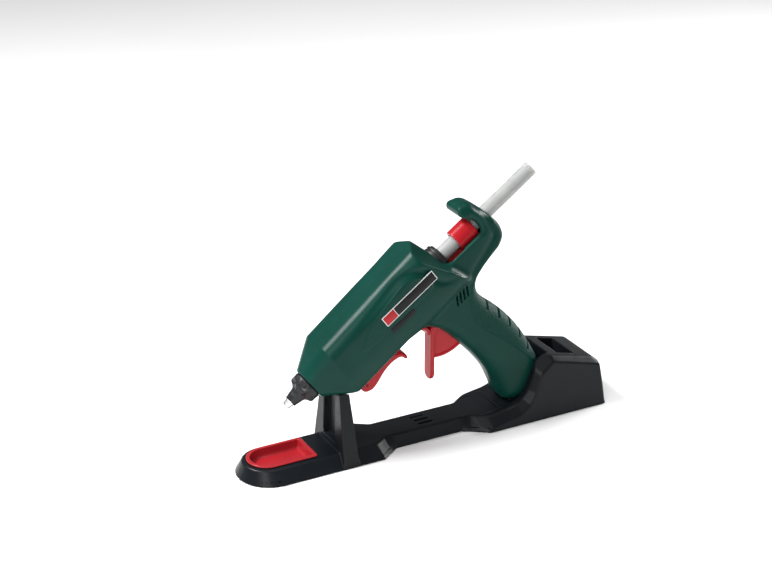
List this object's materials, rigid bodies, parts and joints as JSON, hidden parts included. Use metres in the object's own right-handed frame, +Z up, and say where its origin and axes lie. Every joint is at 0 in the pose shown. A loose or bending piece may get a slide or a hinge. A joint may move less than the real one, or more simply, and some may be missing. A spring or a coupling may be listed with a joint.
{
  "type": "hot glue gun with bench stand",
  "caption": "Pistol-grip hot glue gun with trigger feed, fold-out foot and glue stick, resting in a long bench stand with drip tray and stick well.",
  "frame": {"origin": "on the floor under the middle of the stand's length and width", "axes": "+X from the nozzle end to the handle end along the stand, +Y to the gun's right, +Z up"},
  "size_m": [0.2966, 0.055, 0.1983],
  "materials": {
    "stand_black": "satin",
    "rubber": "matt",
    "steel": "bright",
    "tray_red": "gloss",
    "insulator": "matt",
    "brass": "satin",
    "lead": "matt",
    "housing_green": "satin",
    "nozzle_metal": "bright",
    "boot_black": "satin",
    "chamber": "cast",
    "spacer": "matt",
    "heater": "matt",
    "sleeve": "matt",
    "plate_black": "satin",
    "red_plastic": "gloss",
    "glue": "translucent"
  },
  "bodies": {
    "stand": {"stand_shell": "stand_black", "stand_bottom_cover": "stand_black", "stand_feet": "rubber", "stand_screws": "steel", "dock_contact_block": "insulator", "dock_contact_pins": "brass", "mains_inlet": "insulator", "inlet_pins": "brass", "stand_leads": "lead"},
    "tray": {"drip_tray": "tray_red"},
    "gun": {"housing_left": "housing_green", "housing_right": "housing_green", "housing_screws": "steel", "nozzle": "nozzle_metal", "nozzle_boot": "boot_black", "melt_chamber": "chamber", "chamber_spacers": "spacer", "heater_tablets": "heater", "heater_electrodes": "brass", "heater_clamp": "steel", "thermal_fuse": "heater", "inlet_sleeve": "sleeve", "sleeve_clamp": "steel", "guide_collar": "boot_black", "rear_guide_bush": "insulator", "trigger_pin": "steel", "return_spring": "steel", "foot_pin": "steel", "handle_inlet": "insulator", "handle_contacts": "brass", "heater_leads": "lead", "side_plate_left": "plate_black", "side_plate_right": "plate_black", "side_badge_left": "red_plastic", "side_badge_right": "red_plastic", "rating_plate": "plate_black"},
    "trigger": {"trigger": "red_plastic", "arm_pin": "steel"},
    "carriage": {"feed_carriage": "red_plastic", "carriage_pin": "steel", "jaw_pin": "steel"},
    "jaw": {"gripper_jaw": "steel"},
    "link": {"feed_link": "steel"},
    "stick": {"glue_stick": "glue"},
    "foot": {"support_foot": "red_plastic"}
  },
  "joints": [
    {"name": "gun_lift", "type": "slide", "parent": "stand", "child": "gun", "axis": [0, 0, 1], "range_m": [0, 0.14]},
    {"name": "tray_lift", "type": "slide", "parent": "stand", "child": "tray", "axis": [0, 0, 1], "range_m": [0, 0.034]},
    {"name": "trigger_pull", "type": "hinge", "parent": "gun", "child": "trigger", "pos_m": [0.01251, 0, 0.09057], "axis": [0, -1, 0], "range_deg": [0, 24], "stiffness_Nm_per_rad": 0.5, "springref_deg": -14.32},
    {"name": "carriage_feed", "type": "slide", "parent": "gun", "child": "carriage", "axis": [-0.809, 0, -0.5878], "range_m": [0, 0.009]},
    {"name": "link_swing", "type": "hinge", "parent": "carriage", "child": "link", "pos_m": [0.02733, 0, 0.12853], "axis": [0, -1, 0], "range_deg": [0, 3.3]},
    {"name": "jaw_grip", "type": "hinge", "parent": "carriage", "child": "jaw", "pos_m": [0.04232, 0, 0.14634], "axis": [0, 1, 0], "range_deg": [0, 2.5]},
    {"name": "stick_slide", "type": "slide", "parent": "gun", "child": "stick", "axis": [0.809, 0, 0.5878], "range_m": [-0.012, 0.2]},
    {"name": "foot_fold", "type": "hinge", "parent": "gun", "child": "foot", "pos_m": [-0.04802, 0, 0.05376], "axis": [0, 1, 0], "range_deg": [0, 105]}
  ],
  "couplings": [
    {"joint": "carriage_feed", "follows": "trigger_pull", "m_per_rad": 0.021362},
    {"joint": "link_swing", "follows": "trigger_pull", "ratio": 0.13245},
    {"joint": "jaw_grip", "follows": "trigger_pull", "ratio": 0.1}
  ]
}
